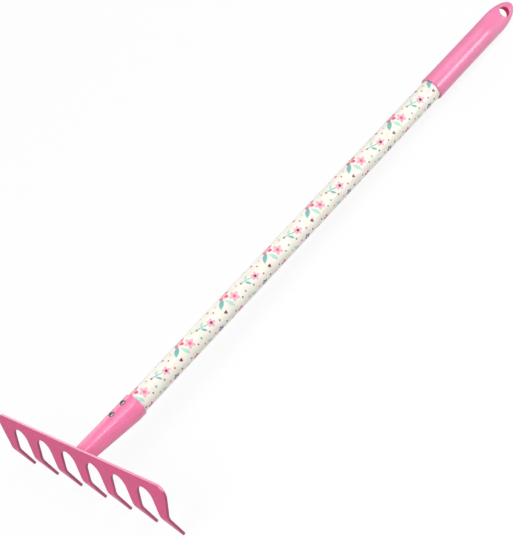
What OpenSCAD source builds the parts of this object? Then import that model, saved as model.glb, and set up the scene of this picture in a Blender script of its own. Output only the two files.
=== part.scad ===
// Child's sand rake: a stamped steel head with bent tines, a tapered steel socket welded to it,
// and a wooden pole in a printed film, held by two screws and ended by a moulded grip.
// Millimetres. The rake lies as it is put down: tine tips and grip end on the ground at Z = 0,
// X across the head, +Y from the head to the grip.

/* [Head] */
// Number of tines across the head
tine_count = 7; // [5:2:9]
// Distance from the centre of one tine to the next
tine_pitch = 38; // [36:0.5:42]
// Width of a tine where it leaves the arches
root_w = 16.2; // [15.8:0.1:17]
// Width of a tine at its bend
bend_w = 12.4; // [10:0.1:12.8]
// Width of the round tip of a tine
tip_w = 3.4; // [3:0.1:5]
// Distance from the centre of an end tine to the side of the head
end_w = 12.8; // [11:0.1:15]
// Thickness of the steel sheet
sheet_t = 2.5; // [2:0.1:3]
// Height of the solid band from the top edge to the arches
band_h = 9.8; // [9.6:0.1:12]
// Depth of the bend below the top edge, on the back of the sheet
bend_depth = 35.5; // [34:0.5:45]
// Length of a tine from its bend to the centre of its tip
leg_l = 25.8; // [20:0.2:35]
// Angle by which the tines turn back at the bend
bend_angle = 27; // [22:1:40]
// Inside radius of the bend
bend_r = 12; // [3:0.5:14]
// Radius of the two top corners of the head
corner_r = 9.5; // [4:0.5:12]

/* [Handle] */
// Length along the handle from the front of the head to the end of the grip
handle_l = 638; // [450:1:900]
// Angle of the handle above square to the head
handle_rise = 15.5; // [10:0.5:18]
// Depth of the handle's axis below the top edge, on the front of the head
axis_depth = 17; // [16.5:0.1:17.4]
// Diameter of the wooden pole
pole_d = 20.4; // [19:0.2:22]
// Thickness of the printed film on the pole
film_t = 0.3; // [0.2:0.05:0.5]
// Distance of the pole's cut end from the front of the head
tenon_z = 25; // [20:0.5:30]
// Depth of the shoulder where the cut starts
tenon_step = 0.4; // [0.3:0.05:0.8]

/* [Socket] */
// Length along the handle from the front of the head to the socket's mouth
socket_l = 75; // [66:0.5:90]
// Thickness of the socket's wall
socket_t = 1.4; // [1.2:0.1:1.6]
// Room between the film and the socket's collar
collar_fit = 0.1; // [0.05:0.05:0.2]
// Length of the round collar at the mouth
collar_l = 8; // [7:0.5:9]
// Length of the film inside the collar
film_in_collar = 6; // [3:0.5:6.5]
// Width of the square end on the head
square_w = 14.4; // [13.4:0.2:15.4]
// Height of the square end
square_h = 13.4; // [12.4:0.2:13.8]
// Corner radius of the square end
square_r = 3; // [2.4:0.1:4]
// Depth of the square end below the top edge of the head
square_inset = 3.9; // [3.5:0.1:4.1]
// Leg of the weld round the square end
weld_leg = 1.8; // [1.4:0.1:1.9]

/* [Screws] */
// Diameter of a screw's pan head
head_d = 5.6; // [5:0.1:6.4]
// Height of the pan head
head_h = 2.2; // [1.8:0.1:2.6]
// Diameter of the shank
shank_d = 3.2; // [2.8:0.1:3.6]
// Length of a screw below its head
screw_l = 14; // [12:0.5:15]
// Length of the point at its end
point_l = 4; // [3:0.5:5]
// Room round a shank in the socket and round a head in its seat
shank_fit = 0.1; // [0.05:0.05:0.15]
// Depth of the flat seat pressed into the socket under a head
seat_depth = 0.4; // [0.3:0.05:0.5]
// Distance of the upper screw from the socket's mouth
upper_back = 10; // [9.5:0.5:14]
// Distance between the two screws
screw_gap = 14.6; // [12:0.2:18]

/* [Grip] */
// Length of the grip along the handle
grip_l = 131; // [105:1:160]
// Wall of the grip round the film
grip_t = 1.4; // [1:0.1:2.5]
// Extra radius at the mouth of the grip
flare = 0.3; // [0.1:0.1:1]
// Length over which the extra radius runs out
flare_l = 36; // [10:1:40]
// Length of solid plastic past the end of the pole
solid_l = 48; // [46:1:56]
// Thickness of the flattened end
tongue_t = 12; // [9:0.5:14]
// Length of the rounded nose at the end
nose_l = 31; // [25:0.5:36]
// Diameter of the hanging hole
hole_d = 11; // [8:0.5:11]
// Distance of the hole's axis from the end
hole_back = 14.5; // [13:0.5:17]
// Length of the flattened end on the near side of the hole
hole_land = 4; // [3:0.5:6]
// Angle of the hole's axis above level, from how far round the grip was pressed on
grip_turn = 32; // [0:1:60]
// Radius of the hollows that lead into the flattened end
hollow_r = 45; // [30:1:46]

/* [Hidden] */
$fn = 96;
hull_fn = 32;
// Larger than any piece that it cuts
big = 400;
// How far a cut runs past the face that it opens
past = 1;
// Thickness of the discs that a hull joins
skin = 0.01;
// How far one outline stays inside the next where they meet
lap = 0.03;

// Head: each side of a tine touches an arch above its bend and the round tip below it
gap_r = (tine_pitch - root_w) / 2;
tip_r = tip_w / 2;
bend_half = bend_w / 2;
arch_z = -band_h - gap_r;
bend_start = bend_depth - bend_r * tan(bend_angle / 2);
leg_straight = leg_l - (bend_r + sheet_t / 2) * tan(bend_angle / 2);
gap_run = [tine_pitch / 2 - bend_half, arch_z + bend_start];
gap_lean = lean_of(gap_run) - asin(gap_r / norm(gap_run));
root_z = arch_z + gap_r * sin(gap_lean);
leg_run = [bend_half, leg_straight];
leg_lean = lean_of(leg_run) - asin(tip_r / norm(leg_run));
first_tine = -(tine_count - 1) / 2;
// Each side of the head touches the round corner above the bend of its end tine
side_x = (tine_count - 1) / 2 * tine_pitch + bend_half;
corner_x = side_x - bend_half + end_w - corner_r;
side_run = [corner_x - side_x, bend_start - corner_r];
side_lean = lean_of(side_run) + asin(corner_r / norm(side_run));
bend_at = [sheet_t + bend_r, -bend_start];
// Front edge of a tip, where a tine touches the ground
leg_dir = [sin(bend_angle), -cos(bend_angle)];
leg_front = bend_at - (bend_r + sheet_t) * [cos(bend_angle), sin(bend_angle)];
tip_at = leg_front + (leg_straight + tip_r) * leg_dir;

// Handle: the radii of the pieces that slide over one another
pole_r = pole_d / 2;
film_r = pole_r + film_t;
collar_in = film_r + collar_fit;
collar_out = collar_in + socket_t;
grip_r = film_r + grip_t;
collar_z = socket_l - collar_l;
pole_end = handle_l - solid_l;
tenon_fit = collar_in - pole_r;

// Socket: heights of its square end, across the handle and on the back of the head
square_top = (axis_depth - square_inset - sheet_t * tan(handle_rise)) * cos(handle_rise);
square_mid = square_top - square_h / 2;
weld_h = square_h / cos(handle_rise);
weld_mid = -square_inset - weld_h / 2;

// Screws: their places along the handle, and the height of the seats above its axis
upper_z = socket_l - upper_back;
lower_z = upper_z - screw_gap;
seat_u = collar_out - seat_depth;
rim_h = head_h * 0.45;
dome_h = head_h - rim_h;
dome_r = (pow(head_d / 2, 2) + dome_h * dome_h) / (2 * dome_h);
slot_w = head_d * 0.18;
slot_l = head_d * 0.58;
slot_depth = head_h * 0.55;

// Grip: where its nose and its flattened end start
nose_z = handle_l - nose_l;
hole_z = handle_l - hole_back;
tongue_z = hole_z - hole_d / 2 - hole_land;

// Rest: the ground touches the tine tips and the underside of the grip's nose
nose_at = [nose_z * cos(handle_rise), nose_z * sin(handle_rise) - axis_depth];
span = nose_at - tip_at;
level_tilt = tilt_for(grip_r);
rest_tilt = tilt_for(nose_reach(grip_r, nose_l, level_tilt - handle_rise));
front_y = level_y(bend_at) - bend_r - sheet_t;
back_y = level_y(nose_at) + nose_reach(nose_l, grip_r, rest_tilt - handle_rise);
rest_y = -(front_y + back_y) / 2;
rest_z = -level_z(tip_at);

// Lean from upright of a line that runs that far across and that far up
function lean_of(run) = atan2(run[0], run[1]);
// Tilt of the head at which the nose's centre is that far above the tips
function tilt_for(drop) = atan2(span[1], span[0]) - asin(drop / norm(span));
// Reach of the nose from its centre, in a direction turned from its first half-length to its second
function nose_reach(first, second, turn) = norm([first * cos(turn), second * sin(turn)]);
function level_y(p) = p[0] * cos(rest_tilt) + p[1] * sin(rest_tilt);
function level_z(p) = p[1] * cos(rest_tilt) - p[0] * sin(rest_tilt);

// From the head's own frame (top edge at Z = 0, front at Y = 0) to the ground
module at_rest() {
    translate([0, rest_y, rest_z])
        rotate([-rest_tilt, 0, 0])
            children();
}

// From the handle's frame (Z along the handle, -Y upward) to the head's frame
module on_handle() {
    translate([0, 0, -axis_depth])
        rotate([handle_rise - 90, 0, 0])
            children();
}

// Outline of the flat part of the head, down to the bend
module flat_outline() {
    touch_x = corner_x + corner_r * cos(side_lean) - lap;
    touch_y = -corner_r - corner_r * sin(side_lean);
    difference() {
        union() {
            polygon([
                [-side_x, -bend_start],
                [side_x, -bend_start],
                [touch_x, touch_y],
                [corner_x, touch_y],
                [corner_x, 0],
                [-corner_x, 0],
                [-corner_x, touch_y],
                [-touch_x, touch_y]
            ]);
            for (x = [-corner_x, corner_x])
                translate([x, -corner_r])
                    circle(r = corner_r);
        }
        for (i = [0 : tine_count - 2])
            translate([(first_tine + i + 0.5) * tine_pitch, 0])
                gap_outline();
    }
}

// Gap between two tines, with an arch at its top
module gap_outline() {
    low = -bend_start - past;
    top_x = gap_r * cos(gap_lean) - lap;
    low_x = top_x + (root_z - low) * tan(gap_lean);
    translate([0, arch_z])
        circle(r = gap_r);
    polygon([[-top_x, root_z], [top_x, root_z], [low_x, low], [-low_x, low]]);
}

// Bend of one tine, in the tine's own middle plane
module tine_bend() {
    translate([0, bend_at[0], bend_at[1]])
        rotate([90, 0, 90])
            rotate(180)
                rotate_extrude(angle = bend_angle)
                    translate([bend_r, lap - bend_half])
                        square([sheet_t, 2 * (bend_half - lap)]);
}

// Straight leg below the bend, with its round tip
module tine_leg() {
    touch_x = tip_r * cos(leg_lean) - lap;
    touch_y = -leg_straight - tip_r * sin(leg_lean);
    translate([0, bend_at[0], bend_at[1]])
        rotate([bend_angle, 0, 0])
            translate([0, -bend_r, 0])
                rotate([90, 0, 0])
                    linear_extrude(sheet_t)
                        union() {
                            polygon([
                                [-bend_half, 0],
                                [bend_half, 0],
                                [touch_x, touch_y],
                                [-touch_x, touch_y]
                            ]);
                            translate([0, -leg_straight])
                                circle(r = tip_r);
                        }
}

// Repeats a piece of one tine across the head
module each_tine() {
    for (i = [0 : tine_count - 1])
        translate([(first_tine + i) * tine_pitch, 0, 0])
            children();
}

module rake_head() {
    color("palevioletred")
        at_rest()
            union() {
                translate([0, sheet_t, 0])
                    rotate([90, 0, 0])
                        linear_extrude(sheet_t)
                            flat_outline();
                each_tine()
                    tine_bend();
                each_tine()
                    tine_leg();
            }
}

// Round in its collar and square on the head, drawn in by an even amount all over
module socket_form(inset = 0, round_l = collar_l) {
    hull() {
        translate([0, 0, collar_z])
            cylinder(r = collar_out - inset, h = round_l, $fn = 2 * hull_fn);
        for (x = [-1, 1], u = [-1, 1])
            translate([x * (square_w / 2 - square_r), -square_mid + u * (square_h / 2 - square_r), 0])
                cylinder(r = square_r - inset, h = skin, $fn = hull_fn);
    }
}

// Everything in front of the head's back face
module head_side() {
    translate([-big / 2, sheet_t - big, -big / 2])
        cube(big);
}

// Places what is drawn along Z onto the screw line, Z upward from the handle's axis
module on_screw_line(along) {
    translate([0, 0, along])
        rotate([90, 0, 0])
            children();
}

module socket() {
    color("hotpink")
        at_rest()
            difference() {
                on_handle()
                    difference() {
                        socket_form();
                        socket_form(socket_t, collar_l + past);
                        for (along = [upper_z, lower_z])
                            on_screw_line(along) {
                                cylinder(d = shank_d + 2 * shank_fit, h = big / 2);
                                translate([0, 0, seat_u])
                                    cylinder(d = head_d + 2 * shank_fit, h = big / 2);
                            }
                    }
                head_side();
            }
}

// Fillet from the back of the head to the socket's square end
module weld_bead() {
    round_x = square_w / 2 - square_r;
    round_u = weld_h / 2 - square_r;
    color("hotpink")
        at_rest()
            difference() {
                hull()
                    for (out = [0, weld_leg], x = [-1, 1], u = [-1, 1])
                        translate([x * round_x, sheet_t + out, weld_mid + u * round_u])
                            rotate([-90, 0, 0])
                                cylinder(r = square_r + weld_leg - out, h = skin, $fn = hull_fn);
                on_handle()
                    socket_form();
            }
}

module pole() {
    color("burlywood")
        at_rest()
            on_handle()
                difference() {
                    union() {
                        translate([0, 0, collar_z])
                            cylinder(r = pole_r, h = pole_end - collar_z);
                        intersection() {
                            socket_form(socket_t + tenon_fit + tenon_step);
                            translate([-big / 2, -big / 2, tenon_z])
                                cube(big);
                        }
                    }
                    for (along = [upper_z, lower_z])
                        on_screw_line(along)
                            shank();
                }
}

module print_sleeve() {
    start = socket_l - film_in_collar;
    color("ivory")
        at_rest()
            on_handle()
                translate([0, 0, start])
                    difference() {
                        cylinder(r = film_r, h = pole_end - start);
                        translate([0, 0, -past])
                            cylinder(r = pole_r, h = pole_end - start + 2 * past);
                    }
}

// Shank of a screw, with a cone for its point
module shank() {
    translate([0, 0, seat_u - screw_l]) {
        cylinder(d1 = 0, d2 = shank_d, h = point_l);
        translate([0, 0, point_l])
            cylinder(d = shank_d, h = screw_l - point_l);
    }
}

// Pan head with a cross recess
module pan_head() {
    translate([0, 0, seat_u])
        difference() {
            intersection() {
                cylinder(d = head_d, h = head_h);
                translate([0, 0, head_h - dome_r])
                    sphere(r = dome_r);
            }
            for (turn = [45, 135])
                rotate(turn)
                    translate([-slot_l / 2, -slot_w / 2, head_h - slot_depth])
                        cube([slot_l, slot_w, head_h]);
        }
}

module screw(along) {
    color("silver")
        at_rest()
            on_handle()
                on_screw_line(along) {
                    shank();
                    pan_head();
                }
}

module upper_screw() {
    screw(upper_z);
}

module lower_screw() {
    screw(lower_z);
}

module grip() {
    mouth_z = handle_l - grip_l;
    color("hotpink")
        at_rest()
            on_handle()
                difference() {
                    union() {
                        translate([0, 0, mouth_z])
                            cylinder(r1 = grip_r + flare, r2 = grip_r, h = flare_l);
                        translate([0, 0, mouth_z + flare_l])
                            cylinder(r = grip_r, h = nose_z - mouth_z - flare_l);
                        translate([0, 0, nose_z])
                            scale([1, 1, nose_l / grip_r])
                                sphere(r = grip_r);
                    }
                    translate([0, 0, mouth_z - past])
                        cylinder(r = film_r, h = pole_end - mouth_z + past);
                    rotate(-grip_turn)
                        for (side = [-1, 1])
                            scale([side, 1, 1])
                                tongue_cut();
                    rotate(-grip_turn)
                        translate([0, 0, hole_z])
                            rotate([0, 90, 0])
                                cylinder(d = hole_d, h = 2 * grip_r, center = true);
                }
}

// What is taken away beside the flattened end: a flat, with a hollow leading into it
module tongue_cut() {
    translate([tongue_t / 2, -big / 2, tongue_z])
        cube(big);
    translate([tongue_t / 2 + hollow_r, 0, tongue_z])
        rotate([90, 0, 0])
            cylinder(r = hollow_r, h = 4 * grip_r, center = true);
}

rake_head();
socket();
weld_bead();
pole();
print_sleeve();
upper_screw();
lower_screw();
grip();
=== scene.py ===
import math

import bmesh
import bpy
from mathutils import Matrix, Vector


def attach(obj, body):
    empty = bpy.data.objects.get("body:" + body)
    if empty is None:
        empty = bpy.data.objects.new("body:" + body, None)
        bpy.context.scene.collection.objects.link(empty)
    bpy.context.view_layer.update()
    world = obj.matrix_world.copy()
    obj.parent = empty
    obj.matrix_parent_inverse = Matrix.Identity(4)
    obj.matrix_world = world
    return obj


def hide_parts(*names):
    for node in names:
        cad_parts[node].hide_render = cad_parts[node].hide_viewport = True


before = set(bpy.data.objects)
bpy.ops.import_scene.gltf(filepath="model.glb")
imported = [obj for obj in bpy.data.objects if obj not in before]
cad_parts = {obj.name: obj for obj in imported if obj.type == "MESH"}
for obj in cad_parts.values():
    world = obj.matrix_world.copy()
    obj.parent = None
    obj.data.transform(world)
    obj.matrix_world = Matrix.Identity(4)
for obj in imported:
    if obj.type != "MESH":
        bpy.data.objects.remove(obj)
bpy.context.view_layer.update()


# View: a long lens from above the right-hand end of the head, as in the photograph.
# The rake lies on a pale floor, and the picture is square on to the lens, with no shift.
scene = bpy.context.scene
scene.view_settings.view_transform = "Standard"

long_lens = bpy.data.cameras.new("long_lens")
long_lens.lens = 133.8
camera = bpy.data.objects.new("camera", long_lens)
camera.location = (1.36937, -0.68222, 1.07577)
camera.rotation_euler = [math.radians(turn) for turn in (49.7371, 28.3370, 43.9938)]
scene.collection.objects.link(camera)
scene.camera = camera


def add_piece(name, bm, paint):
    mesh = bpy.data.meshes.new(name)
    bm.to_mesh(mesh)
    bm.free()
    mesh.polygons.foreach_set("use_smooth", [True] * len(mesh.polygons))
    mesh.materials.append(paint)
    piece = bpy.data.objects.new(name, mesh)
    scene.collection.objects.link(piece)
    return piece


# Floor: a wide pale sheet under the tine tips. The lens and shiny surfaces see it as white,
# with part of the shadow that the rake casts, and it throws about half of the light back up.
floor_half = 8.0
floor_paint = bpy.data.materials.new("floor_white")
floor_paint.use_nodes = True
tree = floor_paint.node_tree
tree.nodes.clear()
floor_out = tree.nodes.new("ShaderNodeOutputMaterial")
seen_or_lit = tree.nodes.new("ShaderNodeMixShader")
white_and_shade = tree.nodes.new("ShaderNodeMixShader")
white_and_shade.inputs["Fac"].default_value = 0.90
shade = tree.nodes.new("ShaderNodeBsdfDiffuse")
shade.inputs["Color"].default_value = (0.9, 0.9, 0.9, 1)
white = tree.nodes.new("ShaderNodeEmission")
bounce = tree.nodes.new("ShaderNodeBsdfDiffuse")
bounce.inputs["Color"].default_value = (0.48, 0.465, 0.465, 1)
ray = tree.nodes.new("ShaderNodeLightPath")
camera_or_gloss = tree.nodes.new("ShaderNodeMath")
camera_or_gloss.operation = "MAXIMUM"
or_clear = tree.nodes.new("ShaderNodeMath")
or_clear.operation = "MAXIMUM"
tree.links.new(ray.outputs["Is Camera Ray"], camera_or_gloss.inputs[0])
tree.links.new(ray.outputs["Is Glossy Ray"], camera_or_gloss.inputs[1])
tree.links.new(camera_or_gloss.outputs[0], or_clear.inputs[0])
tree.links.new(ray.outputs["Is Transmission Ray"], or_clear.inputs[1])
tree.links.new(shade.outputs[0], white_and_shade.inputs[1])
tree.links.new(white.outputs[0], white_and_shade.inputs[2])
tree.links.new(or_clear.outputs[0], seen_or_lit.inputs["Fac"])
tree.links.new(bounce.outputs[0], seen_or_lit.inputs[1])
tree.links.new(white_and_shade.outputs[0], seen_or_lit.inputs[2])
tree.links.new(seen_or_lit.outputs[0], floor_out.inputs["Surface"])
bm = bmesh.new()
bmesh.ops.create_grid(bm, x_segments=1, y_segments=1, size=floor_half)
floor = add_piece("floor", bm, floor_paint)


# Light: a pale dome that is brightest overhead, a long soft box above the handle, another in front
# of the head, a small lamp low behind it for its top edge, a strip for the line along the socket
# and a tube for the streak on the grip.
world = bpy.data.worlds.new("pale_dome")
scene.world = world
world.use_nodes = True
tree = world.node_tree
tree.nodes.clear()
dome_out = tree.nodes.new("ShaderNodeOutputWorld")
dome = tree.nodes.new("ShaderNodeBackground")
direction = tree.nodes.new("ShaderNodeTexCoord")
height = tree.nodes.new("ShaderNodeSeparateXYZ")
rise = tree.nodes.new("ShaderNodeMapRange")
rise.inputs["From Min"].default_value = 0.0
rise.inputs["From Max"].default_value = 1.0
rise.inputs["To Min"].default_value = 0.28
rise.inputs["To Max"].default_value = 0.74
ray = tree.nodes.new("ShaderNodeLightPath")
seen_white = tree.nodes.new("ShaderNodeMix")
seen_white.inputs[3].default_value = 1.0
tree.links.new(direction.outputs["Generated"], height.inputs[0])
tree.links.new(height.outputs["Z"], rise.inputs["Value"])
tree.links.new(rise.outputs["Result"], seen_white.inputs[2])
tree.links.new(ray.outputs["Is Camera Ray"], seen_white.inputs[0])
tree.links.new(seen_white.outputs[0], dome.inputs["Strength"])
tree.links.new(dome.outputs[0], dome_out.inputs["Surface"])


def add_lamp(name, spot, aim, watts, wide, tall, along=None):
    lamp = bpy.data.lights.new(name, "AREA")
    lamp.shape = "RECTANGLE"
    lamp.size, lamp.size_y = wide, tall
    lamp.energy = watts
    holder = bpy.data.objects.new(name, lamp)
    back = (Vector(spot) - Vector(aim)).normalized()
    side = (Vector(along) if along else Vector((0, 1, 0))).cross(back).normalized()
    turn = Matrix((side, back.cross(side), back)).transposed()
    holder.matrix_world = Matrix.Translation(spot) @ turn.to_4x4()
    scene.collection.objects.link(holder)


add_lamp("soft_box", (0.5, 0.75, 1.85), (0, 0.1, 0.03), 10.0, 1.2, 1.6)
add_lamp("ridge_strip", (0.76, 0.03, 1.06), (0, -0.27, 0.045), 2.5, 0.11, 0.5)
add_lamp("front_box", (0.5, -1.4, 1.6), (0, -0.3, 0.03), 15.6, 1.2, 1.2)
add_lamp("edge_lamp", (-1.57, 0.5, 0.75), (0, -0.31, 0.06), 3.2, 0.6, 0.6)
add_lamp("tube", (1.25, 0.95, 0.28), (0, 0.27, 0.02), 8.5, 0.46, 0.7, along=(0, 0.998, -0.0553))


# Rake head: one stamped sheet of steel with a band along its top and tapered tines.
# The blank is cut flat, its edges are rounded, the tines are pressed back at one bend line,
# and it is powder coated pink, with a painted highlight on its top edge and painted shade on its other
# cut edges.
tine_count, tine_pitch, root_wide, end_wide = 7, 0.038, 0.0162, 0.0128
sheet_thick, band_height = 0.0025, 0.0098
arch_radius, bend_half = (tine_pitch - root_wide) / 2, 0.0062
tip_radius, corner_radius, rim_round = 0.0017, 0.0095, 0.0005
bend_turn, bend_inside, bend_depth, leg_reach = math.radians(27), 0.012, 0.0355, 0.0258
bend_top = bend_depth - bend_inside * math.tan(bend_turn / 2)
leg_length = leg_reach - (bend_inside + sheet_thick / 2) * math.tan(bend_turn / 2)
bend_run = (bend_inside + sheet_thick / 2) * bend_turn
arch_depth = band_height + arch_radius
tip_depth = bend_top + bend_run + leg_length
last_tine = (tine_count - 1) / 2 * tine_pitch
corner_across = last_tine + end_wide - corner_radius
rest_y, rest_z, rest_tilt = -0.310190, 0.061707, math.radians(-18.6728)
head_place = Matrix.Translation((0, rest_y, rest_z)) @ Matrix.Rotation(rest_tilt, 4, "X")
arch_steps, tip_steps, corner_steps, bend_steps = 14, 8, 16, 12
same_spot, below_line, sharp_edge = 1e-6, 1e-7, math.radians(60)
edge_share, painted_light_slot, painted_shade_slot = 0.5, 1, 2


def touch_angle(across, along, radius):
    return math.atan2(across, along) - math.asin(radius / math.hypot(across, along))


gap_lean = touch_angle(tine_pitch / 2 - bend_half, bend_top - arch_depth, arch_radius)
leg_lean = touch_angle(bend_half, leg_length, tip_radius)
side_out = corner_across - last_tine - bend_half
side_lean = touch_angle(side_out, bend_top - corner_radius, -corner_radius)


def verts_in(geom):
    return [g for g in geom if isinstance(g, bmesh.types.BMVert)]


def draw_on(bm, vert, spot):
    drawn = bmesh.ops.extrude_vert_indiv(bm, verts=[vert])["verts"][0]
    drawn.co = spot
    return drawn


def draw_arc(bm, vert, centre, axis, angle, steps):
    arc = bmesh.ops.spin(bm, geom=[vert], cent=centre, axis=axis, angle=angle, steps=steps)
    return verts_in(arc["geom_last"])[0]


def powder_coat(name, colour, deep, shine, coat, blur=0.18):
    paint = bpy.data.materials.new(name)
    paint.use_nodes = True
    tree = paint.node_tree
    gloss = tree.nodes["Principled BSDF"]
    gloss.inputs["IOR"].default_value = 1.5
    gloss.inputs["Specular IOR Level"].default_value = shine
    gloss.inputs["Coat Weight"].default_value = coat
    gloss.inputs["Coat Roughness"].default_value = blur
    place = tree.nodes.new("ShaderNodeTexCoord")
    cloud = tree.nodes.new("ShaderNodeTexNoise")
    cloud.inputs["Scale"].default_value = 70
    cloud.inputs["Detail"].default_value = 4
    tone = tree.nodes.new("ShaderNodeValToRGB")
    tone.color_ramp.elements[0].position = 0.36
    tone.color_ramp.elements[0].color = (*deep, 1)
    tone.color_ramp.elements[1].position = 0.62
    tone.color_ramp.elements[1].color = (*colour, 1)
    matt = tree.nodes.new("ShaderNodeMapRange")
    matt.inputs["To Min"].default_value = 0.30
    matt.inputs["To Max"].default_value = 0.44
    peel = tree.nodes.new("ShaderNodeTexNoise")
    peel.inputs["Scale"].default_value = 620
    peel.inputs["Detail"].default_value = 2
    dents = tree.nodes.new("ShaderNodeBump")
    dents.inputs["Strength"].default_value = 0.06
    dents.inputs["Distance"].default_value = 0.0002
    tree.links.new(place.outputs["Object"], cloud.inputs["Vector"])
    tree.links.new(place.outputs["Object"], peel.inputs["Vector"])
    tree.links.new(cloud.outputs["Fac"], tone.inputs["Fac"])
    tree.links.new(cloud.outputs["Fac"], matt.inputs["Value"])
    tree.links.new(peel.outputs["Fac"], dents.inputs["Height"])
    tree.links.new(tone.outputs["Color"], gloss.inputs["Base Color"])
    tree.links.new(matt.outputs["Result"], gloss.inputs["Roughness"])
    tree.links.new(dents.outputs["Normal"], gloss.inputs["Normal"])
    return paint


bm = bmesh.new()
start = bm.verts.new((tine_pitch / 2, 0, -band_height))
arch_mid = (tine_pitch / 2, 0, -arch_depth)
root = draw_arc(bm, start, arch_mid, (0, -1, 0), math.pi / 2 - gap_lean, arch_steps)
side = draw_on(bm, root, (bend_half, 0, -bend_top))
side = draw_on(bm, side, (bend_half, 0, -bend_top - bend_run))
tip_side = Vector((math.cos(leg_lean), 0, -math.sin(leg_lean))) * tip_radius
side = draw_on(bm, side, tip_side + Vector((0, 0, -tip_depth)))
draw_arc(bm, side, (0, 0, -tip_depth), (0, 1, 0), math.pi / 2 - leg_lean, tip_steps)
half_tine = bm.verts[:] + bm.edges[:]
bmesh.ops.mirror(bm, geom=half_tine, matrix=Matrix(), merge_dist=same_spot, axis="X")
one_tine = bm.verts[:] + bm.edges[:]
for tine in range(1, tine_count):
    copy = bmesh.ops.duplicate(bm, geom=one_tine)["geom"]
    step = (tine + 1) // 2 * tine_pitch * (1 if tine % 2 else -1)
    bmesh.ops.translate(bm, verts=verts_in(copy), vec=(step, 0, 0))
bmesh.ops.remove_doubles(bm, verts=bm.verts, dist=same_spot)
spare = [v for v in bm.verts if abs(v.co.x) > last_tine + bend_half + same_spot]
bmesh.ops.delete(bm, geom=spare, context="VERTS")
ends = []
for side in (1, -1):
    bend_corner = Vector((side * (last_tine + bend_half), 0, -bend_top))
    foot = min(bm.verts, key=lambda v: (v.co - bend_corner).length)
    centre = Vector((side * corner_across, 0, -corner_radius))
    touch = centre + corner_radius * Vector((side * math.cos(side_lean), 0, -math.sin(side_lean)))
    top = draw_on(bm, foot, touch)
    ends.append(draw_arc(bm, top, centre, (0, -side, 0), math.pi / 2 + side_lean, corner_steps))
bm.edges.new(ends)
bmesh.ops.contextual_create(bm, geom=bm.edges[:])
back = bmesh.ops.extrude_face_region(bm, geom=bm.faces[:])["geom"]
bmesh.ops.translate(bm, verts=verts_in(back), vec=(0, sheet_thick, 0))
bmesh.ops.recalc_face_normals(bm, faces=bm.faces)
rims = [e for e in bm.edges if e.calc_face_angle(0) > sharp_edge]
bmesh.ops.bevel(bm, geom=rims, offset=rim_round, segments=3, profile=0.5, affect="EDGES", material=-1)
for step in reversed(range(bend_steps)):
    line = -bend_top - bend_run * (step + 0.5) / bend_steps
    blank = bm.verts[:] + bm.edges[:] + bm.faces[:]
    bmesh.ops.bisect_plane(bm, geom=blank, plane_co=(0, 0, line), plane_no=(0, 0, 1))
    below = [v for v in bm.verts if v.co.z < line - below_line]
    fold = Matrix.Rotation(bend_turn / bend_steps, 3, "X")
    bmesh.ops.rotate(bm, verts=below, cent=(0, sheet_thick / 2, line), matrix=fold)
bm.transform(head_place)
head_pink = powder_coat("head_pink", (0.83, 0.122, 0.300), (0.79, 0.110, 0.275), 0.10, 0.0)
# The side walls get a deeper pink as painted shade, and the upward top edge a paler pink as a painted
# highlight.
wall_pink_painted_shade = powder_coat("wall_pink_painted_shade", (0.52, 0.125, 0.225), (0.48, 0.112, 0.205), 0.10, 0.0)
edge_pink_painted_light = powder_coat("edge_pink_painted_light", (0.86, 0.260, 0.440), (0.82, 0.235, 0.410), 0.5, 0.5)
bm.normal_update()
head_up = head_place.to_3x3() @ Vector((0, 0, 1))
# Faces that point up take the painted highlight; faces that point sideways take the painted shade.
for face in bm.faces:
    if face.normal.dot(head_up) > edge_share:
        face.material_index = painted_light_slot
    elif abs(face.normal.x) > edge_share:
        face.material_index = painted_shade_slot
head = add_piece("head", bm, head_pink)
head.data.materials.append(edge_pink_painted_light)
head.data.materials.append(wall_pink_painted_shade)
even = head.modifiers.new("even_shading", "WEIGHTED_NORMAL")
even.keep_sharp = True
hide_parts("rake_head")
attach(head, "root")


# Socket: a tapered steel tube, round where it holds the handle and pressed to a rounded square at
# the head. Its lower end is cut to the slope of the head's back. It has the same pink powder coat as
# the head, glossier here, and its paler pink is painted light.
axis_depth, handle_lean = 0.017, math.radians(-74.5)
handle_on_head = Matrix.Translation((0, 0, -axis_depth)) @ Matrix.Rotation(handle_lean, 4, "X")
handle_place = head_place @ handle_on_head
socket_length, collar_length, collar_radius, socket_wall = 0.075, 0.008, 0.0120, 0.0014
square_wide, square_tall, square_round, square_mid = 0.0144, 0.0134, 0.0022, 0.005255
tube_sides, square_steps, taper_cuts = 64, 15, 8
mouth_round, mouth_edge = 0.0005, math.radians(50)


def extrude_ring(bm, ring, move=(0, 0, 0)):
    grown = bmesh.ops.extrude_edge_only(bm, edges=ring)["geom"]
    fresh = set(verts_in(grown))
    bmesh.ops.translate(bm, verts=list(fresh), vec=move)
    return [e for e in grown if isinstance(e, bmesh.types.BMEdge) and set(e.verts) <= fresh]


def rounded_square(bm, wide, tall, radius, steps, place):
    stretch = Matrix.Diagonal((wide, tall, 1, 1))
    corners = bmesh.ops.create_grid(bm, x_segments=1, y_segments=1, size=0.5, matrix=stretch)["verts"]
    made = bmesh.ops.bevel(
        bm, geom=corners, offset=radius, segments=steps, profile=0.5, affect="VERTICES", material=-1
    )
    face = max({f for v in made["verts"] for f in v.link_faces}, key=lambda f: len(f.verts))
    ring = list(face.edges)
    bmesh.ops.transform(bm, matrix=place, verts=list(face.verts))
    bmesh.ops.delete(bm, geom=[face], context="FACES_ONLY")
    return ring


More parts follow.
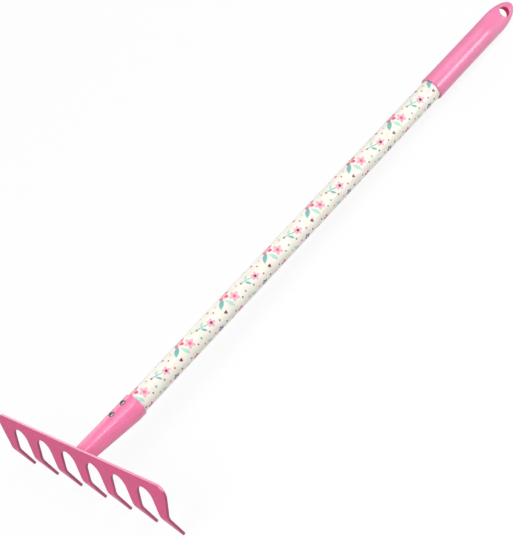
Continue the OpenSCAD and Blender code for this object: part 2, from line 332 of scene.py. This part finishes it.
bm = bmesh.new()
half_step = Matrix.Rotation(math.pi / tube_sides, 4, "Z")
mouth_place = Matrix.Translation((0, 0, socket_length)) @ half_step
mouth = bmesh.ops.create_circle(bm, segments=tube_sides, radius=collar_radius, matrix=mouth_place)
mouth_ring = list({e for v in mouth["verts"] for e in v.link_edges})
collar = extrude_ring(bm, mouth_ring, (0, 0, -collar_length))
square_place = Matrix.Translation((0, -square_mid, 0))
square = rounded_square(bm, square_wide, square_tall, square_round, square_steps, square_place)
taper_sides = bmesh.ops.bridge_loops(bm, edges=collar + square)["edges"]
bmesh.ops.subdivide_edges(bm, edges=taper_sides, cuts=taper_cuts, use_grid_fill=True)
bm.transform(handle_on_head)
tube = bm.verts[:] + bm.edges[:] + bm.faces[:]
head_back = (0, sheet_thick, 0)
bmesh.ops.bisect_plane(bm, geom=tube, plane_co=head_back, plane_no=(0, 1, 0), clear_inner=True)
bm.transform(head_place)
bmesh.ops.recalc_face_normals(bm, faces=bm.faces)
# The socket's pink is paler than the head's as painted light on the same powder coat; its extra gloss is
# the coat's own.
socket_pink = powder_coat("socket_pink", (0.88, 0.195, 0.395), (0.85, 0.180, 0.370), 0.45, 0.6, blur=0.13)
socket = add_piece("socket_tube", bm, socket_pink)
wall = socket.modifiers.new("wall", "SOLIDIFY")
wall.thickness = socket_wall
wall.offset = -1
rim = socket.modifiers.new("rounded_mouth", "BEVEL")
rim.width = mouth_round
rim.segments = 3
rim.limit_method = "ANGLE"
rim.angle_limit = mouth_edge
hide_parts("socket")
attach(socket, "root")


# Weld: one run of steel laid in the corner between the socket and the back of the head.
# It keeps the small ripples of a hand-held torch, softened by the paint that goes over it.
weld_leg, weld_tall, weld_mid = 0.0018, 0.013906, -0.010853
weld_steps = ((0.0, 0.0), (0.0002, 0.0006), (0.0006, 0.0011), (0.0012, 0.0015), (0.0019, 0.0017))
weld_height, weld_slope = weld_steps[-1][1], math.tan(math.pi / 2 + handle_lean)
corner_parts, side_cuts, least_side = 10, 9, 0.003
ripple_height, ripple_count = 0.00012, 15
bm = bmesh.new()
upright = Matrix.Translation((0, sheet_thick, weld_mid)) @ Matrix.Rotation(math.radians(90), 4, "X")
foot_wide, foot_tall = square_wide + 2 * weld_leg, weld_tall + 2 * weld_leg
foot = rounded_square(bm, foot_wide, foot_tall, square_round + weld_leg, corner_parts, upright)
straight = [e for e in foot if e.calc_length() > least_side]
bmesh.ops.subdivide_edges(bm, edges=straight, cuts=side_cuts)
ring = first_ring = bm.edges[:]
for (inward, lift), (inward_to, lift_to) in zip(weld_steps, weld_steps[1:]):
    ring = extrude_ring(bm, ring, (0, lift_to - lift, (lift_to - lift) * weld_slope))
    ring_verts = list({v for e in ring for v in e.verts})
    narrow = (foot_wide - 2 * inward_to) / (foot_wide - 2 * inward)
    lower = (foot_tall - 2 * inward_to) / (foot_tall - 2 * inward)
    middle = Matrix.Translation((0, 0, -weld_mid))
    bmesh.ops.scale(bm, vec=(narrow, 1, lower), verts=ring_verts, space=middle)
    for v in ring_verts:
        around = math.atan2(v.co.z - weld_mid, v.co.x)
        v.co.y += ripple_height * abs(math.sin(ripple_count * around)) * lift_to / weld_height
ring = extrude_ring(bm, ring, (0, -weld_height, 0))
bmesh.ops.bridge_loops(bm, edges=ring + first_ring)
bmesh.ops.recalc_face_normals(bm, faces=bm.faces)
bm.transform(head_place)
weld_pink = powder_coat("weld_pink", (0.84, 0.160, 0.345), (0.80, 0.145, 0.315), 0.4, 0.2)
weld = add_piece("weld_run", bm, weld_pink)
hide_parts("weld_bead")
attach(weld, "root")


# Pole: a plain round stick of pale wood, turned smooth, with one end cut down to fit the socket.
# The film, the socket and the grip cover all of it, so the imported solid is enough.
wood = bpy.data.materials.new("pole_wood")
wood.use_nodes = True
tree = wood.node_tree
plain = tree.nodes["Principled BSDF"]
place = tree.nodes.new("ShaderNodeTexCoord")
along = tree.nodes.new("ShaderNodeMapping")
along.inputs["Scale"].default_value = (1, 0.06, 1)
grain = tree.nodes.new("ShaderNodeTexNoise")
grain.inputs["Scale"].default_value = 420
grain.inputs["Detail"].default_value = 5
tone = tree.nodes.new("ShaderNodeValToRGB")
tone.color_ramp.elements[0].position = 0.35
tone.color_ramp.elements[0].color = (0.42, 0.26, 0.12, 1)
tone.color_ramp.elements[1].position = 0.65
tone.color_ramp.elements[1].color = (0.62, 0.43, 0.22, 1)
pores = tree.nodes.new("ShaderNodeBump")
pores.inputs["Strength"].default_value = 0.2
pores.inputs["Distance"].default_value = 0.0003
plain.inputs["Roughness"].default_value = 0.6
tree.links.new(place.outputs["Object"], along.inputs["Vector"])
tree.links.new(along.outputs["Vector"], grain.inputs["Vector"])
tree.links.new(grain.outputs["Fac"], tone.inputs["Fac"])
tree.links.new(tone.outputs["Color"], plain.inputs["Base Color"])
tree.links.new(grain.outputs["Fac"], pores.inputs["Height"])
tree.links.new(pores.outputs["Normal"], plain.inputs["Normal"])
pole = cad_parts["pole"]
pole.data.materials.clear()
pole.data.materials.append(wood)


# Printed film: a thin plastic tube shrunk tight on the pole, from inside the socket to inside the
# grip. Its cream ground carries a scattered print of blossoms, leaves, hearts and dots.
film_inside, film_outside, film_start, film_end = 0.0102, 0.0105, 0.069, 0.590
film_round = 2 * math.pi * film_outside
drop_wide, drop_long = film_round / 2, 0.062
film_sides, film_rings, millimetres = 96, 80, 1000
petal_count, petal_swing, petal_mean = 5.0, 0.2, 0.8
leaf_belly, stem_thin, heart_dip, arm_half = 0.36, 16.0, 0.75, 0.28


def film_print(tree, shapes, cream):
    add, link = tree.nodes.new, tree.links.new

    def sums(kind, first, second=None):
        node = add("ShaderNodeMath")
        node.operation = kind
        for socket, value in zip(node.inputs, (first, second)):
            if isinstance(value, (int, float)):
                socket.default_value = value
            elif value is not None:
                link(value, socket)
        return node.outputs[0]

    flat = add("ShaderNodeUVMap")
    flat.uv_map = "film"
    ends = add("ShaderNodeSeparateXYZ")
    link(flat.outputs["UV"], ends.inputs[0])
    column = sums("FLOOR", sums("DIVIDE", ends.outputs["X"], drop_wide))
    within = sums("SUBTRACT", ends.outputs["X"], sums("MULTIPLY", column, drop_wide))
    across = sums("SUBTRACT", within, drop_wide / 2)
    shifted = sums("ADD", ends.outputs["Y"], sums("MULTIPLY", column, drop_long / 2))
    up = sums("SUBTRACT", sums("FLOORED_MODULO", shifted, drop_long), drop_long / 2)
    spot = add("ShaderNodeCombineXYZ")
    link(across, spot.inputs["X"])
    link(up, spot.inputs["Y"])
    colour = cream
    for kind, x, y, turn, size, inks in shapes:
        move = add("ShaderNodeMapping")
        move.vector_type = "TEXTURE"
        move.inputs["Location"].default_value = (x / millimetres, y / millimetres, 0)
        move.inputs["Rotation"].default_value = (0, 0, math.radians(turn))
        move.inputs["Scale"].default_value = (size / millimetres, size / millimetres, 1)
        link(spot.outputs[0], move.inputs["Vector"])
        axes = add("ShaderNodeSeparateXYZ")
        link(move.outputs[0], axes.inputs[0])
        reach = add("ShaderNodeVectorMath")
        reach.operation = "LENGTH"
        link(move.outputs[0], reach.inputs[0])
        far = reach.outputs["Value"]
        px, py = axes.outputs["X"], axes.outputs["Y"]
        if kind == "dot":
            inside = sums("LESS_THAN", far, 1.0)
        elif kind == "blossom":
            petals = sums("COSINE", sums("MULTIPLY", sums("ARCTAN2", py, px), petal_count))
            edge = sums("ADD", sums("MULTIPLY", petals, petal_swing), petal_mean)
            inside = sums("LESS_THAN", far, edge)
        elif kind == "leaf":
            belly = sums("MULTIPLY", sums("SUBTRACT", 1.0, sums("MULTIPLY", px, px)), leaf_belly)
            inside = sums("LESS_THAN", sums("ABSOLUTE", py), belly)
        elif kind == "stem":
            thin = sums("MULTIPLY", sums("ABSOLUTE", py), stem_thin)
            inside = sums("LESS_THAN", sums("MAXIMUM", sums("ABSOLUTE", px), thin), 1.0)
        elif kind == "heart":
            dip = sums("SUBTRACT", py, sums("MULTIPLY", sums("ABSOLUTE", px), heart_dip))
            bulge = sums("ADD", sums("MULTIPLY", px, px), sums("MULTIPLY", dip, dip))
            inside = sums("LESS_THAN", bulge, 1.0)
        else:
            long_arm = sums("MAXIMUM", sums("ABSOLUTE", px), sums("ABSOLUTE", py))
            thin_arm = sums("MINIMUM", sums("ABSOLUTE", px), sums("ABSOLUTE", py))
            in_arm = sums("LESS_THAN", thin_arm, arm_half)
            inside = sums("MULTIPLY", sums("LESS_THAN", long_arm, 1.0), in_arm)
        ink = add("ShaderNodeMix")
        ink.data_type = "RGBA"
        link(inside, ink.inputs[0])
        link(colour, ink.inputs[6])
        ink.inputs[7].default_value = (*inks, 1)
        colour = ink.outputs[2]
    return colour, flat


rose, blush = (0.76, 0.10, 0.25), (0.88, 0.42, 0.52)
mint, teal = (0.42, 0.70, 0.60), (0.16, 0.45, 0.44)
slate, plum = (0.10, 0.15, 0.30), (0.20, 0.02, 0.09)
ochre, charcoal = (0.62, 0.40, 0.10), (0.06, 0.05, 0.06)
# Each motif: kind, millimetres across and along the film, turn in degrees, millimetres of size, ink.
motifs = (
    ("leaf", -10, -21, 35, 6.2, mint), ("leaf", 4, -22, 125, 6.0, teal),
    ("leaf", 9, -15.5, 15, 5.2, mint), ("stem", -7, -23, 60, 6.0, teal),
    ("blossom", -3, -13.5, 10, 7.0, rose), ("blossom", -3, -13.5, 46, 4.2, blush),
    ("dot", -3, -13.5, 0, 1.7, ochre), ("blossom", 7.5, -8.0, 30, 5.2, blush),
    ("dot", 7.5, -8.0, 0, 1.6, rose), ("blossom", -11.5, -6.5, 50, 3.6, slate),
    ("dot", -11.5, -6.5, 0, 1.1, blush), ("stem", 6, 12, 70, 7.5, teal),
    ("leaf", 3.6, 12.5, 120, 3.2, mint), ("leaf", 8.6, 10.5, 30, 3.2, teal),
    ("blossom", 8.8, 20, 0, 4.4, blush), ("dot", 8.8, 20, 0, 1.4, plum),
    ("heart", -8, 9, 15, 2.4, rose), ("blossom", -10, 21, 20, 4.0, rose),
    ("dot", -10, 21, 0, 1.3, ochre), ("heart", 12, -25.5, -20, 1.6, plum),
    ("heart", -1.5, 25.5, 10, 1.5, rose), ("dot", -13.5, 2, 0, 1.0, plum),
    ("dot", 1.5, 1, 0, 0.9, ochre), ("dot", 12, 3, 0, 1.1, teal), ("dot", -4, 18, 0, 0.8, charcoal),
    ("dot", 13, 27.5, 0, 1.0, rose), ("dot", -14, 15, 0, 0.9, slate),
    ("dot", -14, -28, 0, 1.0, ochre), ("dot", 4, 28.5, 0, 0.8, plum),
    ("dot", 1, -27.5, 0, 1.0, blush), ("cross", -6.5, 28, 20, 1.3, charcoal),
    ("cross", 4, 5.5, 0, 1.2, plum), ("cross", 13.5, 13, 35, 1.2, slate),
    ("dot", -4, 3.5, 0, 0.8, rose), ("cross", -13.5, -14, 10, 1.2, rose),
    ("dot", 14, -3, 0, 0.8, charcoal), ("dot", -7.5, 14.5, 0, 0.8, teal),
)
film_skin = bpy.data.materials.new("film_print")
film_skin.use_nodes = True
tree = film_skin.node_tree
skin = tree.nodes["Principled BSDF"]
skin.inputs["IOR"].default_value = 1.5
skin.inputs["Coat Weight"].default_value = 0.3
skin.inputs["Coat Roughness"].default_value = 0.22
place = tree.nodes.new("ShaderNodeTexCoord")
cloud = tree.nodes.new("ShaderNodeTexNoise")
cloud.inputs["Scale"].default_value = 90
cloud.inputs["Detail"].default_value = 3
ground = tree.nodes.new("ShaderNodeValToRGB")
ground.color_ramp.elements[0].position = 0.35
ground.color_ramp.elements[0].color = (0.81, 0.78, 0.68, 1)
ground.color_ramp.elements[1].position = 0.65
ground.color_ramp.elements[1].color = (0.87, 0.85, 0.76, 1)
tree.links.new(place.outputs["Object"], cloud.inputs["Vector"])
tree.links.new(cloud.outputs["Fac"], ground.inputs["Fac"])
printed, flat = film_print(tree, motifs, ground.outputs["Color"])
tree.links.new(printed, skin.inputs["Base Color"])
streaks = tree.nodes.new("ShaderNodeMapping")
streaks.inputs["Scale"].default_value = (900, 45, 1)
creases = tree.nodes.new("ShaderNodeTexNoise")
creases.inputs["Scale"].default_value = 1.0
creases.inputs["Detail"].default_value = 3
ripple = tree.nodes.new("ShaderNodeBump")
ripple.inputs["Strength"].default_value = 0.45
ripple.inputs["Distance"].default_value = 0.0003
gleam = tree.nodes.new("ShaderNodeMapRange")
gleam.inputs["To Min"].default_value = 0.30
gleam.inputs["To Max"].default_value = 0.46
tree.links.new(flat.outputs["UV"], streaks.inputs["Vector"])
tree.links.new(streaks.outputs["Vector"], creases.inputs["Vector"])
tree.links.new(creases.outputs["Fac"], ripple.inputs["Height"])
tree.links.new(creases.outputs["Fac"], gleam.inputs["Value"])
tree.links.new(ripple.outputs["Normal"], skin.inputs["Normal"])
tree.links.new(gleam.outputs["Result"], skin.inputs["Roughness"])

bm = bmesh.new()
lower_end = Matrix.Translation((0, 0, film_start))
end = bmesh.ops.create_circle(bm, segments=film_sides, radius=film_inside, matrix=lower_end)
ring = first_ring = list({e for v in end["verts"] for e in v.link_edges})
ring = extrude_ring(bm, ring)
grow = film_outside / film_inside
bmesh.ops.scale(bm, vec=(grow, grow, 1), verts=list({v for e in ring for v in e.verts}))
for step in range(film_rings):
    ring = extrude_ring(bm, ring, (0, 0, (film_end - film_start) / film_rings))
ring = extrude_ring(bm, ring)
bmesh.ops.scale(bm, vec=(1 / grow, 1 / grow, 1), verts=list({v for e in ring for v in e.verts}))
bmesh.ops.bridge_loops(bm, edges=ring + first_ring)
bmesh.ops.recalc_face_normals(bm, faces=bm.faces)
wrap = bm.loops.layers.uv.new("film")
for face in bm.faces:
    middle = face.calc_center_median()
    here = math.atan2(middle.y, middle.x)
    for corner in face.loops:
        spot = corner.vert.co
        away = (math.atan2(spot.y, spot.x) - here + math.pi) % (2 * math.pi) - math.pi
        corner[wrap].uv = ((here + math.pi + away) * film_outside, spot.z)
bm.transform(handle_place)
film = add_piece("film", bm, film_skin)
film.modifiers.new("even_shading", "WEIGHTED_NORMAL")
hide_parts("print_sleeve")
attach(film, "root")


# Screws: two small pan-head screws with a cross recess, nickel plated, driven through the top of
# the socket into the pole.
nickel = bpy.data.materials.new("screw_nickel")
nickel.use_nodes = True
tree = nickel.node_tree
plate = tree.nodes["Principled BSDF"]
plate.inputs["Metallic"].default_value = 1.0
place = tree.nodes.new("ShaderNodeTexCoord")
brush = tree.nodes.new("ShaderNodeTexNoise")
brush.inputs["Scale"].default_value = 900
brush.inputs["Detail"].default_value = 3
tone = tree.nodes.new("ShaderNodeValToRGB")
tone.color_ramp.elements[0].color = (0.20, 0.18, 0.19, 1)
tone.color_ramp.elements[1].color = (0.46, 0.43, 0.44, 1)
matt = tree.nodes.new("ShaderNodeMapRange")
matt.inputs["To Min"].default_value = 0.30
matt.inputs["To Max"].default_value = 0.44
tree.links.new(place.outputs["Object"], brush.inputs["Vector"])
tree.links.new(brush.outputs["Fac"], tone.inputs["Fac"])
tree.links.new(brush.outputs["Fac"], matt.inputs["Value"])
tree.links.new(tone.outputs["Color"], plate.inputs["Base Color"])
tree.links.new(matt.outputs["Result"], plate.inputs["Roughness"])
for name in ("upper_screw", "lower_screw"):
    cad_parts[name].data.materials.clear()
    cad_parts[name].data.materials.append(nickel)


# Grip: a moulded plastic cap pushed over the end of the film, slightly flared at its mouth.
# Its rounded end is pinched flat on both sides and has a hanging hole with soft edges; the wall
# of the hole is painted a deeper pink as painted shade.
grip_mouth, flare_end, nose_start, nose_long = 0.507, 0.543, 0.607, 0.031
grip_bore, bore_end, lip_radius, mouth_radius, barrel_radius = 0.0105, 0.590, 0.0006, 0.0122, 0.0119
pinch_from, pinch_to, pinch_share, grip_turn = 0.586, 0.618, 0.55, math.radians(-32)
hole_at, hole_radius, hole_round, hole_margin = 0.6235, 0.0055, 0.0011, 0.0004
cut_radius, cut_least, hole_shade_slot = 0.0072, 0.0015, 1
grip_sides, lip_steps, flare_steps, barrel_steps, nose_steps, rim_steps = 96, 4, 12, 48, 40, 4
lip_top = grip_mouth + lip_radius


def grip_half(y, z):
    past = min(max((z - pinch_from) / (pinch_to - pinch_from), 0), 1)
    squeeze = 1 - (1 - pinch_share) * past * past * (3 - 2 * past)
    round_off = math.sqrt(max(1 - (max(z - nose_start, 0) / nose_long) ** 2, 0))
    return squeeze, squeeze * math.sqrt(max((barrel_radius * round_off) ** 2 - y * y, 0))


bm = bmesh.new()
edge = bm.verts.new((0, 0, bore_end))
edge = draw_on(bm, edge, (grip_bore, 0, bore_end))
edge = draw_on(bm, edge, (grip_bore, 0, lip_top))
edge = draw_arc(bm, edge, (grip_bore + lip_radius, 0, lip_top), (0, -1, 0), math.pi / 2, lip_steps)
edge = draw_on(bm, edge, (mouth_radius - lip_radius, 0, grip_mouth))
edge = draw_arc(bm, edge, (mouth_radius - lip_radius, 0, lip_top), (0, -1, 0), math.pi / 2, lip_steps)
for step in range(1, flare_steps + 1):
    share = step / flare_steps
    radius = mouth_radius + (barrel_radius - mouth_radius) * share
    edge = draw_on(bm, edge, (radius, 0, lip_top + (flare_end - lip_top) * share))
for step in range(1, barrel_steps + 1):
    up = flare_end + (nose_start - flare_end) * step / barrel_steps
    edge = draw_on(bm, edge, (barrel_radius, 0, up))
for step in range(1, nose_steps + 1):
    turn = math.pi / 2 * step / nose_steps
    up = nose_start + nose_long * math.sin(turn)
    edge = draw_on(bm, edge, (barrel_radius * math.cos(turn), 0, up))
profile = bm.verts[:] + bm.edges[:]
bmesh.ops.spin(
    bm, geom=profile, cent=(0, 0, 0), axis=(0, 0, 1), angle=2 * math.pi, steps=grip_sides, use_merge=True
)
bmesh.ops.remove_doubles(bm, verts=bm.verts, dist=same_spot)
bmesh.ops.recalc_face_normals(bm, faces=bm.faces)
for v in bm.verts:
    if math.hypot(v.co.x, v.co.y) > grip_bore + same_spot or v.co.z > bore_end + same_spot:
        v.co.x *= grip_half(v.co.y, v.co.z)[0]
inner_rings = []
for side in (1, -1):
    cut = []
    for face in bm.faces:
        middle = face.calc_center_median()
        if middle.x * side > cut_least and math.hypot(middle.y, middle.z - hole_at) < cut_radius:
            cut.append(face)
    bmesh.ops.delete(bm, geom=cut, context="FACES")
    ring = [e for e in bm.edges if e.is_boundary and e.verts[0].co.x * side > 0]
    for step in range(rim_steps + 2):
        turn = math.pi / 2 * max(step - 1, 0) / rim_steps
        ring = extrude_ring(bm, ring)
        for v in {v for e in ring for v in e.verts}:
            around = math.atan2(v.co.y, v.co.z - hole_at)
            rim_out = hole_radius + hole_round + (hole_margin if step == 0 else 0)
            face_half = grip_half(rim_out * math.sin(around), hole_at + rim_out * math.cos(around))[1]
            out = rim_out - hole_round * math.sin(turn)
            depth = face_half - hole_round * (1 - math.cos(turn))
            v.co = (side * depth, out * math.sin(around), hole_at + out * math.cos(around))
    inner_rings += ring
# The faces of the hole's wall take the slot of the painted shade.
for face in bmesh.ops.bridge_loops(bm, edges=inner_rings)["faces"]:
    face.material_index = hole_shade_slot
bmesh.ops.recalc_face_normals(bm, faces=bm.faces)
bm.transform(handle_place @ Matrix.Rotation(grip_turn, 4, "Z"))


def moulded_plastic(name, colour, deep, shine, coat):
    plastic = bpy.data.materials.new(name)
    plastic.use_nodes = True
    tree = plastic.node_tree
    moulded = tree.nodes["Principled BSDF"]
    moulded.inputs["IOR"].default_value = 1.5
    moulded.inputs["Coat Weight"].default_value = coat
    moulded.inputs["Specular IOR Level"].default_value = shine
    moulded.inputs["Coat Roughness"].default_value = 0.25
    place = tree.nodes.new("ShaderNodeTexCoord")
    cloud = tree.nodes.new("ShaderNodeTexNoise")
    cloud.inputs["Scale"].default_value = 40
    cloud.inputs["Detail"].default_value = 3
    tone = tree.nodes.new("ShaderNodeValToRGB")
    tone.color_ramp.elements[0].position = 0.35
    tone.color_ramp.elements[0].color = (*deep, 1)
    tone.color_ramp.elements[1].position = 0.65
    tone.color_ramp.elements[1].color = (*colour, 1)
    gleam = tree.nodes.new("ShaderNodeMapRange")
    gleam.inputs["To Min"].default_value = 0.30
    gleam.inputs["To Max"].default_value = 0.38
    flow = tree.nodes.new("ShaderNodeTexNoise")
    flow.inputs["Scale"].default_value = 55
    flow.inputs["Detail"].default_value = 2
    sink = tree.nodes.new("ShaderNodeBump")
    sink.inputs["Strength"].default_value = 0.03
    sink.inputs["Distance"].default_value = 0.0004
    tree.links.new(place.outputs["Object"], cloud.inputs["Vector"])
    tree.links.new(place.outputs["Object"], flow.inputs["Vector"])
    tree.links.new(cloud.outputs["Fac"], tone.inputs["Fac"])
    tree.links.new(cloud.outputs["Fac"], gleam.inputs["Value"])
    tree.links.new(flow.outputs["Fac"], sink.inputs["Height"])
    tree.links.new(tone.outputs["Color"], moulded.inputs["Base Color"])
    tree.links.new(gleam.outputs["Result"], moulded.inputs["Roughness"])
    tree.links.new(sink.outputs["Normal"], moulded.inputs["Normal"])
    return plastic


plastic = moulded_plastic("grip_plastic", (0.83, 0.220, 0.410), (0.79, 0.200, 0.380), 0.5, 0.5)
# The hole's wall is the same plastic as the grip; its deeper crimson is painted shade.
hole_wall_painted_shade = moulded_plastic("hole_wall_painted_shade", (0.68, 0.020, 0.120), (0.64, 0.016, 0.100), 0.1, 0.0)
grip = add_piece("grip_cap", bm, plastic)
grip.data.materials.append(hole_wall_painted_shade)
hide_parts("grip")
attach(grip, "root")
